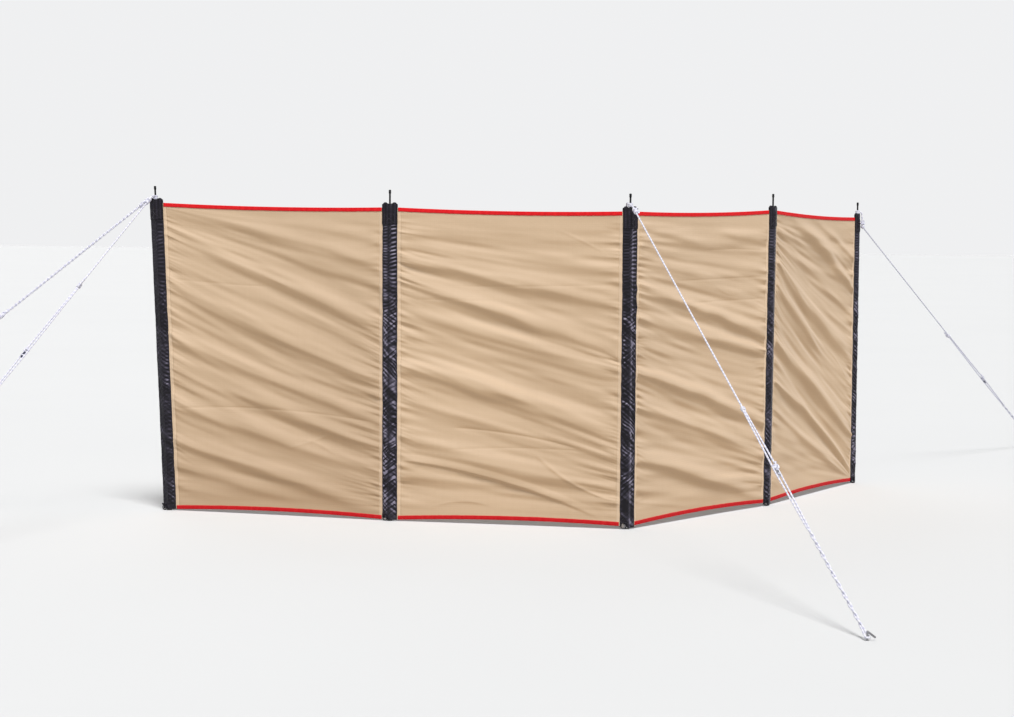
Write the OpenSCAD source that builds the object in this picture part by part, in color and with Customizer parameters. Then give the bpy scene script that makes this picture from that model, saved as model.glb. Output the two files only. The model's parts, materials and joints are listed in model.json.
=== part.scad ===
// Beach windbreak: four cloth bays on five sleeved poles, held up by guy ropes and pegs.
// Millimetres, +Z up, ground at z = 0, origin at the foot of the middle pole.

/* [Plan] */
// Distance from pole to pole
bay_w = 780; // [700:10:900]
// Direction of the first bay, from the left pole to the next
bay_1_heading = -14.5; // [-30:0.5:0]
// Direction of the second bay
bay_2_heading = -9.5; // [-25:0.5:0]
// Direction of the third bay
bay_3_heading = 47.7; // [30:0.1:60]
// Direction of the fourth bay
bay_4_heading = 57.7; // [40:0.1:75]

/* [Poles] */
// Outer diameter of a pole
pole_d = 16; // [12:1:20]
// Wall of the pole's tube
pole_wall = 1.2; // [0.8:0.1:2]
// Thickness of the foot plug's flange
foot_t = 5; // [3:1:8]
// Depth of a plug inside the tube
plug_depth = 28; // [15:1:40]
// Diameter of the tip pin's neck
pin_neck_d = 6; // [4:1:7]
// Diameter of the tip pin's head
pin_head_d = 8; // [7:1:10]
// Height of the tip pin above the webbing cap
pin_h = 44; // [35:1:60]
// Length of the tip pin's head
pin_head_h = 12; // [8:1:16]

/* [Sleeves] */
// Usual height of a sleeve's top over the ground
sleeve_h = 1036; // [900:2:1200]
// Flat width of a sleeve
sleeve_w = 50; // [40:1:60]
// Thickness of a sleeve around its pole
sleeve_t = 21; // [20:1:26]
// Gap between a sleeve and the ground
sleeve_gap = 4; // [2:1:10]
// Height of the webbing cap
cap_h = 68; // [50:1:90]
// Wall of the webbing cap
cap_wall = 1.5; // [1:0.1:2.5]
// Height of the cap's folded ears
ear_h = 5; // [4:1:12]

/* [Cloth] */
// Thickness of a cloth panel with its ripples
panel_t = 5; // [3:1:8]
// How far the wind pushes a panel out at its middle
belly = 12; // [0:1:30]
// Height of the binding tape
binding_h = 13; // [10:1:20]
// Thickness of the cloth edge with its binding
binding_t = 7; // [5:1:10]
// Drop of the top edge under the sleeve's top, at the poles
top_drop = 13; // [5:1:25]
// Extra sag of the top edge at mid bay
top_sag = 6; // [0:1:20]
// Extra rise of the bottom edge at mid bay
bottom_arch = 9; // [0:1:20]

/* [Ropes] */
// Diameter of a guy rope
rope_d = 5; // [4:0.5:8]
// Diameter of a knot
knot_d = 14; // [10:1:18]
// Spread of the two strands at the slider
strand_spread = 12; // [10:1:20]
// Length of a slider
slider_l = 30; // [25:1:50]
// Width of a slider, between the two strands
slider_w = 6; // [4:1:7]
// Thickness of a slider
slider_t = 8; // [7:1:14]
// Diameter of a peg's rod
peg_d = 5; // [4:0.5:8]
// Height of a peg's top over the ground
peg_h = 24; // [20:1:40]
// How far a peg's hook reaches out, at the middle of its rod
hook_out = 18; // [14:1:24]

/* [Hidden] */
$fn = 32;
fit_gap = 0.2;
pole_count = 5;
bay_count = pole_count - 1;
headings = [bay_1_heading, bay_2_heading, bay_3_heading, bay_4_heading];
// Sideways lean of each pole
leans = [-2.49, -0.3, -0.14, 0.17, -0.17];
// How far each sleeve's top stands over or under the usual height
rises = [11, 1, -6, 9, -7];
// Rise of the cloth's bottom edge over the ground at each pole
bottom_rises = [3, 4, 10, 12, 8];

tube_depth = 14;
collar_h = 8;
bore_d = pole_d - 2 * pole_wall;
edge_half = 0.7;
edge_gap = 0.8;
u_steps = 16;
v_steps = 12;

// Each rope: name, pole, heading, reach on the ground, level of its loop on the pin, how far out
// it bends over the cap's edge, its first knot from the pin, and the runs to its knot and slider
ropes = [
    ["left_side", 0, 206.8, 1385, 1, 17, [-43, -23, -24], 592, 880],
    ["left_front", 0, 247, 1590, 2, 17, [-19, -47, -21], 481, 835],
    ["middle_front", 2, -74.8, 1764, 1, 17, [14, -50, -19], 1066, 1351],
    ["middle_back", 2, 112, 1600, 2, 28, [-10, 26, -52], 980, 1260],
    ["right_side", 4, 52.6, 1764, 1, 16, [19, -9, -53], 920, 1350],
    ["right_back", 4, 148, 1600, 2, 21, [2, 27, -52], 860, 1190],
];
rope_sides = 8;
rope_r = rope_d / 2;
// Length of a knot along its rope
knot_l = 18;
// From a slider to where its two strands start to twist together
twist_run = 233;
// Turn of a peg's hook from its rope's heading
hook_turn = 75;
// Height of a peg's hook at its end, and of the rope round the peg
hook_end_h = 8;
rope_tie_h = 8;

function along(a) = [cos(a), sin(a)];
function sleeve_top(i) = sleeve_h + rises[i];
function pin_base(i) = sleeve_top(i) - cap_wall;
function tube_top(i) = sleeve_top(i) - tube_depth;

// Feet of the poles, worked out from the middle one
pole_1 = -bay_w * along(headings[1]);
pole_3 = bay_w * along(headings[2]);
feet = [pole_1 - bay_w * along(headings[0]), pole_1, [0, 0], pole_3, pole_3 + bay_w * along(headings[3])];

// A sleeve lies halfway between the directions of its two bays
function sleeve_heading(i) =
    i == 0 ? headings[0]
    : i == bay_count ? headings[bay_count - 1]
    : (headings[i - 1] + headings[i]) / 2;

// Point on pole i: s along the sleeve's width, z up the pole
function on_pole(i, s, z) =
    let (a = sleeve_heading(i), x = s * cos(a), l = leans[i])
    [feet[i].x + x * cos(l) + z * sin(l), feet[i].y + s * sin(a), z * cos(l) - x * sin(l)];

// Normal of bay i, towards the back
function bay_normal(i) = [-sin(headings[i]), cos(headings[i]), 0];

function hump(u) = 4 * u * (1 - u);
function between(a, b, u) = (1 - u) * a + u * b;
function top_z(i, u) = between(sleeve_top(i), sleeve_top(i + 1), u) - top_drop - top_sag * hump(u);
function bottom_z(i, u) = between(bottom_rises[i], bottom_rises[i + 1], u) + bottom_arch * hump(u);

// Point of bay i's middle surface: u from pole to pole, z up the cloth, off its plane by out
function on_bay(i, u, z, out) =
    let (s = sleeve_w / 2 + edge_gap)
    between(on_pole(i, s, z), on_pole(i + 1, -s, z), u) + out * bay_normal(i);

// Closed sheet from front and back grids of (u_steps + 1) by (rows + 1) points
module grid_solid(front, back, rows) {
    n = u_steps + 1;
    count = n * (rows + 1);
    points = concat(front, back);
    function quad(a, b, c, d) = [[a, b, c], [a, c, d]];
    faces = [
        for (r = [0:rows - 1], c = [0:u_steps - 1])
            let (k = r * n + c)
            each concat(
                quad(k, k + n, k + n + 1, k + 1),
                quad(count + k, count + k + 1, count + k + n + 1, count + k + n)
            ),
        for (c = [0:u_steps - 1])
            let (k = rows * n + c)
            each concat(
                quad(c, c + 1, count + c + 1, count + c),
                quad(k, count + k, count + k + 1, k + 1)
            ),
        for (r = [0:rows - 1])
            let (k = r * n, e = k + u_steps)
            each concat(
                quad(k, count + k, count + k + n, k + n),
                quad(e, e + n, count + e + n, count + e)
            ),
    ];
    polyhedron(points, faces);
}

module panel(i) {
    function side(offset) = [
        for (r = [0:v_steps], c = [0:u_steps])
            let (
                u = c / u_steps,
                v = r / v_steps,
                low = bottom_z(i, u) + binding_h,
                high = top_z(i, u) - binding_h,
                bulge = belly * sin(180 * u) * sin(180 * v)
            )
            on_bay(i, u, low + v * (high - low), bulge + offset)
    ];
    color("tan") grid_solid(side(-panel_t / 2), side(panel_t / 2), v_steps);
}

module binding(i, low, high) {
    function side(offset) = [
        for (r = [0:1], c = [0:u_steps])
            let (u = c / u_steps)
            on_bay(i, u, r == 0 ? low[c] : high[c], offset)
    ];
    color("crimson") grid_solid(side(-binding_t / 2), side(binding_t / 2), 1);
}

module top_binding(i) {
    edge = [for (c = [0:u_steps]) top_z(i, c / u_steps)];
    binding(i, [for (z = edge) z - binding_h], edge);
}

module bottom_binding(i) {
    edge = [for (c = [0:u_steps]) bottom_z(i, c / u_steps)];
    binding(i, edge, [for (z = edge) z + binding_h]);
}

module at_pole(i) {
    translate([feet[i].x, feet[i].y, 0])
        rotate([0, leans[i], 0])
            rotate([0, 0, sleeve_heading(i)])
                children();
}

// Flat tube of cloth drawn over a round pole: a circle with two flat flaps tangent to it
module sleeve_outline(grow) {
    r = sleeve_t / 2 + grow;
    half = sleeve_w / 2 + grow;
    edge = edge_half + grow;
    turn = acos(r / half);
    touch = r * [cos(turn), sin(turn)];
    circle(r = r);
    polygon([
        [half, -edge], [half, edge], touch, [-touch.x, touch.y],
        [-half, edge], [-half, -edge], -touch, [touch.x, -touch.y],
    ]);
}

module sleeve(i) {
    color("#2b2833")
        at_pole(i)
            translate([0, 0, sleeve_gap])
                linear_extrude(pin_base(i) - cap_wall - sleeve_gap)
                    difference() {
                        sleeve_outline(0);
                        circle(d = pole_d + 2);
                    }
}

module webbing_cap(i) {
    hole_d = pin_neck_d + 4;
    ear_x = sleeve_w / 2 - 9;
    ear_w = 9;
    ear_depth = 8;
    color("#1d1b22")
        at_pole(i) {
            translate([0, 0, sleeve_top(i) - cap_h])
                linear_extrude(cap_h - 2 * cap_wall)
                    difference() {
                        sleeve_outline(cap_wall);
                        sleeve_outline(0);
                    }
            translate([0, 0, sleeve_top(i) - 2 * cap_wall])
                linear_extrude(cap_wall)
                    difference() {
                        sleeve_outline(cap_wall);
                        circle(d = hole_d);
                    }
            for (sx = [-1, 1])
                translate([sx * ear_x - ear_w / 2, -ear_depth / 2, pin_base(i)])
                    cube([ear_w, ear_depth, ear_h]);
        }
}

module pole(i) {
    color("#6f7378")
        at_pole(i)
            translate([0, 0, foot_t])
                difference() {
                    cylinder(d = pole_d, h = tube_top(i) - foot_t);
                    translate([0, 0, -1]) cylinder(d = bore_d, h = tube_top(i));
                }
}

module foot_plugs() {
    color("#202024")
        for (i = [0:pole_count - 1])
            at_pole(i) {
                cylinder(d = pole_d + 1, h = foot_t);
                translate([0, 0, foot_t]) cylinder(d = bore_d - 2 * fit_gap, h = plug_depth);
            }
}

module tip_pin(i) {
    tip_z = sleeve_top(i) + pin_h;
    color("#18181b")
        at_pole(i) {
            translate([0, 0, tube_top(i) - plug_depth])
                cylinder(d = bore_d - 2 * fit_gap, h = plug_depth);
            translate([0, 0, tube_top(i)]) cylinder(d = pole_d, h = collar_h);
            translate([0, 0, tube_top(i)]) cylinder(d = pin_neck_d, h = tip_z - tube_top(i));
            translate([0, 0, tip_z - pin_head_h]) cylinder(d = pin_head_d, h = pin_head_h);
        }
}

function unit(v) = v / norm(v);

// Tube of varying radius along a list of [point, radius] pairs that never run straight up
module tube(route) {
    n = len(route);
    m = rope_sides;
    up = [0, 0, 1];
    points = [
        for (i = [0:n - 1])
            let (
                t = unit(route[min(i + 1, n - 1)][0] - route[max(i - 1, 0)][0]),
                u = unit(cross(t, up)),
                w = cross(u, t)
            )
            for (k = [0:m - 1])
                route[i][0] + route[i][1] * (cos(360 * k / m) * u + sin(360 * k / m) * w)
    ];
    faces = concat(
        [
            for (i = [0:n - 2], k = [0:m - 1])
                let (a = i * m + k, b = i * m + (k + 1) % m)
                each [[a, b, b + m], [a, b + m, a + m]]
        ],
        [
            for (k = [1:m - 2])
                let (e = (n - 1) * m)
                each [[0, k + 1, k], [e, e + k, e + k + 1]]
        ]
    );
    polyhedron(points, faces);
}

// Places along a rope
function rope_dir(r) = [cos(r[2]), sin(r[2]), 0];
function rope_side(r) = [-sin(r[2]), cos(r[2]), 0];
function pin_point(r) = on_pole(r[1], 0, sleeve_top(r[1]) + 1 + (r[4] - 0.5) * (rope_d + 1));
function first_knot(r) = pin_point(r) + r[6];
function peg_foot(r) = [feet[r[1]].x, feet[r[1]].y, 0] + r[3] * rope_dir(r);
function rope_end(r) = peg_foot(r) + [0, 0, rope_tie_h];
function run_dir(r) = unit(rope_end(r) - first_knot(r));
function rope_at(r, run) = first_knot(r) + run * run_dir(r);

// Points of a knot at p, on a rope that arrives along a and leaves along b
function knot_route(p, a, b) = [
    [p - knot_l / 2 * a, rope_r],
    [p - knot_l / 4 * a, knot_d / 2],
    [p + knot_l / 4 * b, knot_d / 2],
    [p + knot_l / 2 * b, rope_r],
];

// Points of a loop that opens towards r, from turn a to turn b
function loop_route(centre, radius, heading, a, b, steps) = [
    for (k = [0:steps])
        let (t = heading + a + (b - a) * k / steps)
        [centre + radius * [cos(t), sin(t), 0], rope_r]
];

// From the loop on the pin to the knot, down one strand, round the peg and back up the other
function rope_route(r) =
    let (
        pin = pin_point(r),
        start = first_knot(r),
        out = unit([r[6].x, r[6].y, 0]),
        bend = pin + r[5] * out,
        knot = rope_at(r, r[7]),
        slide = rope_at(r, r[8]),
        twist = rope_at(r, r[8] + twist_run),
        half = strand_spread / 2 * rope_side(r),
        close = (rope_r + fit_gap) * rope_side(r),
        wrap_r = (peg_d + rope_d) / 2 + fit_gap,
        wrap = wrap_r * rope_side(r)
    )
    concat(
        loop_route(pin, (pin_neck_d + rope_d) / 2 + fit_gap, atan2(out.y, out.x), 40, 320, 10),
        [[bend, rope_r]],
        knot_route(start, unit(start - bend), run_dir(r)),
        knot_route(knot, run_dir(r), run_dir(r)),
        [[slide + half, rope_r], [twist + close, rope_r]],
        loop_route(rope_end(r), wrap_r, r[2], 90, -90, 6),
        [
            [twist - close, rope_r],
            [slide - half, rope_r],
            [knot + 0.75 * knot_l * run_dir(r) - 1.3 * rope_d * rope_side(r), rope_r],
        ]
    );

module guy_rope(k) {
    color("whitesmoke") tube(rope_route(ropes[k]));
}

// Flat bar between the two strands, with a hole near each end for the rope
module slider(k) {
    r = ropes[k];
    v = run_dir(r);
    hole_x = slider_l / 2 - 6;
    color("#2a2a2e")
        translate(rope_at(r, r[8]))
            rotate([0, -asin(v.z), atan2(v.y, v.x)])
                difference() {
                    translate([-slider_l / 2, -slider_w / 2, -slider_t / 2])
                        cube([slider_l, slider_w, slider_t]);
                    for (sx = [-1, 1])
                        translate([sx * hole_x, 0, 0])
                            rotate([90, 0, 0])
                                cylinder(d = rope_d + 0.5, h = slider_w + 2, center = true);
                }
}

// Peg of bent rod, from the ground up, with a hook that slopes down over its rope
module peg(k) {
    r = ropes[k];
    top_z = peg_h - peg_d / 2;
    drop = top_z - hook_end_h;
    arm = norm([hook_out, drop]);
    color("#4a4b50")
        translate(peg_foot(r))
            rotate([0, 0, r[2] + hook_turn]) {
                cylinder(d = peg_d, h = top_z);
                translate([0, 0, top_z]) {
                    sphere(d = peg_d);
                    rotate([0, 90 + atan2(drop, hook_out), 0]) {
                        cylinder(d = peg_d, h = arm);
                        translate([0, 0, arm]) sphere(d = peg_d);
                    }
                }
            }
}

function numbered(name, count) = [for (i = [1:count]) str(name, "_", i)];
function roped(name) = [for (r = ropes) str(name, "_", r[0])];

foot_plugs();
for (i = [0:pole_count - 1]) {
    pole(i);
    tip_pin(i);
    sleeve(i);
    webbing_cap(i);
}
for (i = [0:bay_count - 1]) {
    panel(i);
    top_binding(i);
    bottom_binding(i);
}
for (k = [0:len(ropes) - 1]) {
    guy_rope(k);
    slider(k);
    peg(k);
}
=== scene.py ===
import json
import math
from functools import lru_cache

import bmesh
import bpy
import numpy as np
from mathutils import Matrix, Vector


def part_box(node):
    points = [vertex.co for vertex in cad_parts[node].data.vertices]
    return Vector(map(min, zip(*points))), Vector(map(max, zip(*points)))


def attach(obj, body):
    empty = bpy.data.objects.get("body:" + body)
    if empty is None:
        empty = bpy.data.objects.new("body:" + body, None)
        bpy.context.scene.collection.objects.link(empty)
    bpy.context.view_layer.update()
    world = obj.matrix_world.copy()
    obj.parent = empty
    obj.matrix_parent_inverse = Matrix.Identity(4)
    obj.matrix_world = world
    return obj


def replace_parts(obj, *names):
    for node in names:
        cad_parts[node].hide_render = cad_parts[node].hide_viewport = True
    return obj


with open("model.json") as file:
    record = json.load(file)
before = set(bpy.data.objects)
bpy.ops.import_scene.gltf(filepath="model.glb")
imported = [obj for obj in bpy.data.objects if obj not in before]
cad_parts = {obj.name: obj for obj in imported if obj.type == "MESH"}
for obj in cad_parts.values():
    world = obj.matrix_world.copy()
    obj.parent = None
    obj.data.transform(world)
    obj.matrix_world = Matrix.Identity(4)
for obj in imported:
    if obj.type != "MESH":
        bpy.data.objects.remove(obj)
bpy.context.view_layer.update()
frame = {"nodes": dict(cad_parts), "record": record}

# ---------------- sizes, in metres
MOUNTS = {m["name"]: m for m in frame["record"]["mounts"]}
X, Y, Z = np.eye(3)
POLES = 5
BAYS = POLES - 1
PIN_H = 0.044  # from a sleeve's top to the top of its pin
PIN_HEAD_H = 0.012  # a tip mount is at its middle
# Outlines of a pin's collar, up from its base, and of its neck and head, down from its top: radius
# and distance in millimetres
PIN_COLLAR = ((7.4, 0), (7.9, 0.6), (7.9, 7.0), (7.0, 8.0), (3.6, 8.4), (3.0, 9.8))
PIN_HEAD = ((3.0, 13.5), (3.2, 12.5), (3.8, 11.5), (4.0, 10.5), (4.0, 6.5), (3.7, 6.1), (3.7, 5.3),
            (4.0, 4.9), (4.0, 2.2), (3.5, 0.8), (2.2, 0.1), (0.8, 0))
POLE_CLEAR = 0.0085  # radius round a pole's axis that its sleeve stays out of
BULGE_R = 0.0088  # radius of a calm sleeve where it passes over its pole
SLEEVE_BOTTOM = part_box("sleeve_3")[0].z
SLEEVE_W = 0.050
SLEEVE_EDGE = 0.0014
SLEEVE_ROWS = 500
SLEEVE_COLUMNS = 21
SLEEVE_LIVELY = (0.45, 1.0, 1.0, 0.8, 0.8)  # how wrinkled each sleeve is
FREE_SIDE = 0.80  # share of its width that an end sleeve keeps on the side that holds no cloth
# Bands of painted light and painted shade on each sleeve's front: place, width and strength
PAINTED_BANDS = (
    ((-0.004, 0.025, -0.09),),
    ((-0.014, 0.009, 0.15), (-0.0015, 0.0018, -0.30), (0.012, 0.008, 0.08)),
    ((-0.014, 0.010, -0.16), (0.0065, 0.0035, 0.34), (0.0185, 0.005, -0.04)),
    ((0.004, 0.012, 0.10),),
    ((-0.008, 0.010, 0.10),),
)
# Lumps of the middle sleeve's right edge: how far under its top, and how far they stand out
LUMPS = {2: ((0.262, 0.10), (0.318, 0.12), (0.395, -0.05))}
CAP_H = 0.068
CAP_T = 0.0011
CAP_BEND = 0.0045  # radius of the webbing's fold over a sleeve's top
FOOT_LOOP_S = -0.0145
FOOT_LOOP_R = 0.0076
FOOT_RAISE = (0.003, 0.006, 0.016, 0.006, 0.006)  # how far each foot loop pulls its hem up
PANEL_ROWS = 356
PANEL_COLUMNS = 80  # away from the seams, where they lie closer
TOP_DROP = 0.013  # from a sleeve's top to the cloth's corner
TOP_SAG = 0.006
BOTTOM_RISES = (0.003, 0.004, 0.010, 0.012, 0.008)  # of the cloth's bottom edge at each pole
BOTTOM_ARCH = 0.009
BELLY = 0.012  # how far a bay's middle bows to the back
BINDING_H = 0.013
BINDING_T = 0.0026
# A folded tape's half outline: distance in from the cloth's edge, and share of half its thickness
BINDING_OUTLINE = [(0.0130, 0.55), (0.0127, 0.95), (0.0095, 1.0), (0.0050, 0.96), (0.0015, 0.85),
                   (0.0003, 0.45), (0.0000, 0.0)]
HEM_W = 0.012
STITCH_PITCH = 0.0042
STITCH_SHARE = 0.74  # of the pitch, that shows as thread
STITCH_T = 0.00034
ROPE_R = 0.0025
BRAID_PITCH = 0.008
PEG_R = 0.0025
PEG_TIE = 0.008  # height of a rope's turn round its peg
LOOP_R = 0.0057
TWIST_RUN = 0.233  # from a slider to where its two strands begin to twist
SLIDER_HOLE = 0.009  # from a slider's middle to each of its holes
STRAND_SPREAD = 0.012  # between the two strands at a slider

# ---------------- plan
FEET = [Vector(MOUNTS[f"foot_{i + 1}"]["pos_m"]) for i in range(POLES)]
UPS = [-Vector(MOUNTS[f"foot_{i + 1}"]["axis"]).normalized() for i in range(POLES)]
TIPS = [(Vector(MOUNTS[f"tip_{i + 1}"]["pos_m"]) - FEET[i]).length for i in range(POLES)]
PIN_TOPS = [tip + PIN_HEAD_H / 2 for tip in TIPS]
SLEEVE_TOPS = [top - PIN_H for top in PIN_TOPS]
CAP_BOTTOMS = [top - CAP_H for top in SLEEVE_TOPS]


def bay_heading(i):
    """Direction of bay i in plan, in radians."""
    run = FEET[i + 1] - FEET[i]
    return math.atan2(run.y, run.x)


def sleeve_heading(i):
    """A sleeve lies halfway between the directions of its two bays."""
    left = bay_heading(max(i - 1, 0))
    right = bay_heading(min(i, BAYS - 1))
    return (left + right) / 2


def pole_axes(i):
    """The sleeve's width, its depth towards the back, and the pole's own direction."""
    lean = Matrix.Rotation(math.atan2(UPS[i].x, UPS[i].z), 3, "Y")
    a = sleeve_heading(i)
    across = lean @ Vector((math.cos(a), math.sin(a), 0))
    back = lean @ Vector((-math.sin(a), math.cos(a), 0))
    return np.array(across), np.array(back), np.array(UPS[i])


def on_pole(i, s, z, depth=0.0):
    """Points at s across the sleeve of pole i, z up the pole and depth behind its middle."""
    across, back, up = pole_axes(i)
    s, z, depth = (np.asarray(v, float)[..., None] for v in (s, z, depth))
    return np.array(FEET[i]) + s * across + z * up + depth * back


def smooth(x, low, high):
    """0 under low, 1 over high, with an eased step between."""
    t = np.clip((x - low) / (high - low), 0, 1)
    return t * t * (3 - 2 * t)


def bell(x, centre, width):
    """1 at centre, and falling off smoothly to both sides."""
    return np.exp(-((x - centre) / width) ** 2)


def between(a, b, u):
    return (1 - u) * a + u * b


def unit(v):
    return v / np.linalg.norm(v)


def side_and_lift(run):
    """The level direction and the upward one that are square to run."""
    side = unit(np.cross(run, Z))
    return side, np.cross(side, run)


def swing(turn, side, lift, flat=1.0):
    """Directions at each angle of turn, from side towards lift."""
    return np.cos(turn)[:, None] * side + flat * np.sin(turn)[:, None] * lift


def lengths(path):
    """How far along the path each of its points lies."""
    return np.concatenate([[0], np.cumsum(np.linalg.norm(np.diff(path, axis=0), axis=1))])


@lru_cache(maxsize=None)
def noise_table(seed, size):
    """Random values from -1 to 1."""
    return np.random.default_rng(seed).uniform(-1, 1, (size, size))


def noise2(x, y, cell_x, cell_y, seed):
    """Smooth value noise from -1 to 1, with cells of cell_x by cell_y."""
    size = 97
    table = noise_table(seed, size)
    gx, gy = x / cell_x, y / cell_y
    x0, y0 = np.floor(gx).astype(int), np.floor(gy).astype(int)
    fx, fy = gx - x0, gy - y0
    fx, fy = fx * fx * (3 - 2 * fx), fy * fy * (3 - 2 * fy)
    a, b = x0 % size, (x0 + 1) % size
    c, d = y0 % size, (y0 + 1) % size
    low = table[a, c] * (1 - fx) + table[b, c] * fx
    high = table[a, d] * (1 - fx) + table[b, d] * fx
    return low * (1 - fy) + high * fy


# ---------------- meshes
def add_object(name, data):
    thing = bpy.data.objects.new(name, data)
    bpy.context.scene.collection.objects.link(thing)
    return thing


class Shape:
    """Collects grids, tubes and threads, and makes them into one mesh with UVs in metres."""

    def __init__(self):
        self.verts, self.quads, self.uvs, self.caps, self.count = [], [], [], [], 0

    def add_points(self, points):
        """Adds points, and gives the number of the first."""
        points = np.asarray(points, float).reshape(-1, 3)
        base = self.count
        self.verts.append(points)
        self.count += len(points)
        return base

    def grid(self, points, us, vs, wrap=False):
        """A rows by columns grid. us has one value more than the columns where it wraps."""
        rows, cols = points.shape[:2]
        base = self.add_points(points)
        us, vs = np.asarray(us, float), np.asarray(vs, float)
        r, c = np.ogrid[:rows - 1, :cols if wrap else cols - 1]
        corners = ((0, 0), (0, 1), (1, 1), (1, 0))
        quads = [(r + down) * cols + (c + over) % cols for down, over in corners]
        uvs = [np.broadcast_arrays(us[c + over], vs[r + down]) for down, over in corners]
        self.quads.append(base + np.stack(quads, -1).reshape(-1, 4))
        self.uvs.append(np.moveaxis(np.array(uvs), (0, 1), (2, 3)).reshape(-1, 2))
        return base

    def closed_grid(self, points, us, vs):
        """A grid that wraps round, with a cap on its first and last rows."""
        rows, cols = points.shape[:2]
        base = self.grid(points, us, vs, wrap=True)
        self.caps.append(list(range(base + cols - 1, base - 1, -1)))
        self.caps.append(list(range(base + (rows - 1) * cols, base + rows * cols)))

    def tube(self, path, radius, sides=10, flat=1.0):
        """A round tube along path, with a radius for each point or one for all."""
        path = np.asarray(path, float)
        tangents, normals, sideways = carried_frames(path)
        radius = np.broadcast_to(np.asarray(radius, float), (len(path),))
        turn = np.arange(sides) / sides * 2 * math.pi
        ring = swing(turn, normals[:, None], sideways[:, None], flat)
        points = path[:, None] + radius[:, None, None] * ring
        self.closed_grid(points, np.arange(sides + 1) / sides, lengths(path))

    def threads(self, starts, ends, thick):
        """Short threads from starts to ends, thinner at their ends than in the middle."""
        run = ends - starts
        length = np.linalg.norm(run, axis=1, keepdims=True)
        run = run / length
        other = np.where(np.abs(run[:, 2:]) < 0.9, (0.0, 0.0, 1.0), (0.0, 1.0, 0.0))
        side = np.cross(run, other)
        side /= np.linalg.norm(side, axis=1, keepdims=True)
        lift = np.cross(run, side)
        corners = [(starts + ends) / 2 + end * run * length / 2 + size * thick * (x * side + y * lift)
                   for end, size in ((-1, 0.4), (0, 1.0), (1, 0.4))
                   for x, y in ((-1, -1), (1, -1), (1, 1), (-1, 1))]
        base = self.add_points(np.stack(corners, axis=1))
        one = [[r + c, r + (c + 1) % 4, r + 4 + (c + 1) % 4, r + 4 + c] for r in (0, 4) for c in range(4)]
        one += [[3, 2, 1, 0], [8, 9, 10, 11]]
        first = base + 12 * np.arange(len(starts))[:, None, None]
        self.quads.append((first + np.array(one)).reshape(-1, 4))
        self.uvs.append(np.zeros((len(starts) * len(one) * 4, 2)))

    def make(self, name, material, sharp=None, tidy=True):
        """The finished piece, riding on the part."""
        mesh = bpy.data.meshes.new(name)
        faces = np.vstack(self.quads).tolist() + self.caps
        mesh.from_pydata(np.vstack(self.verts).tolist(), [], faces)
        layer = mesh.uv_layers.new(name="UVMap")
        uvs = np.vstack(self.uvs + [np.zeros((sum(map(len, self.caps)), 2))])
        layer.data.foreach_set("uv", uvs.astype(np.float32).ravel())
        mesh.polygons.foreach_set("use_smooth", [True] * len(mesh.polygons))
        if tidy:
            work = bmesh.new()
            work.from_mesh(mesh)
            bmesh.ops.recalc_face_normals(work, faces=work.faces)
            work.to_mesh(mesh)
            work.free()
        if sharp is not None:
            mesh.set_sharp_from_angle(angle=math.radians(sharp))
        mesh.materials.append(material)
        piece = add_object(name, mesh)
        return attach(piece, "root")


def carried_frames(path):
    """Tangents, and two side vectors carried along the path without twisting."""
    tangents = np.gradient(path, axis=0)
    tangents /= np.linalg.norm(tangents, axis=1)[:, None]
    first = np.cross(tangents[0], Z)
    normals = [X if np.linalg.norm(first) < 1e-6 else unit(first)]
    for t in tangents[1:]:
        normals.append(unit(normals[-1] - t * np.dot(normals[-1], t)))
    normals = np.array(normals)
    return tangents, normals, np.cross(tangents, normals)


def resample(points, step):
    """A smooth curve through the points, at about step apart."""
    p = np.asarray(points, float)
    ends = np.vstack([2 * p[0] - p[1], p, 2 * p[-1] - p[-2]])
    out = []
    for k in range(1, len(ends) - 2):
        a, b, c, d = ends[k - 1:k + 3]
        n = max(2, int(np.linalg.norm(c - b) / step))
        t = np.linspace(0, 1, n, endpoint=False)[:, None]
        out.append(0.5 * (2 * b + (c - a) * t + (2 * a - 5 * b + 4 * c - d) * t ** 2
                          + (3 * b - a - 3 * c + d) * t ** 3))
    return np.vstack(out + [p[-1:]])


def straight(a, b, step=0.006):
    """Points on the line from a to b."""
    n = max(2, int(np.linalg.norm(b - a) / step))
    return a + (b - a) * np.linspace(0, 1, n)[:, None]


# ---------------- materials
WAVE = 20  # radians that a wave texture turns through for each unit of its scale
WHITE = (1, 1, 1)


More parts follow.
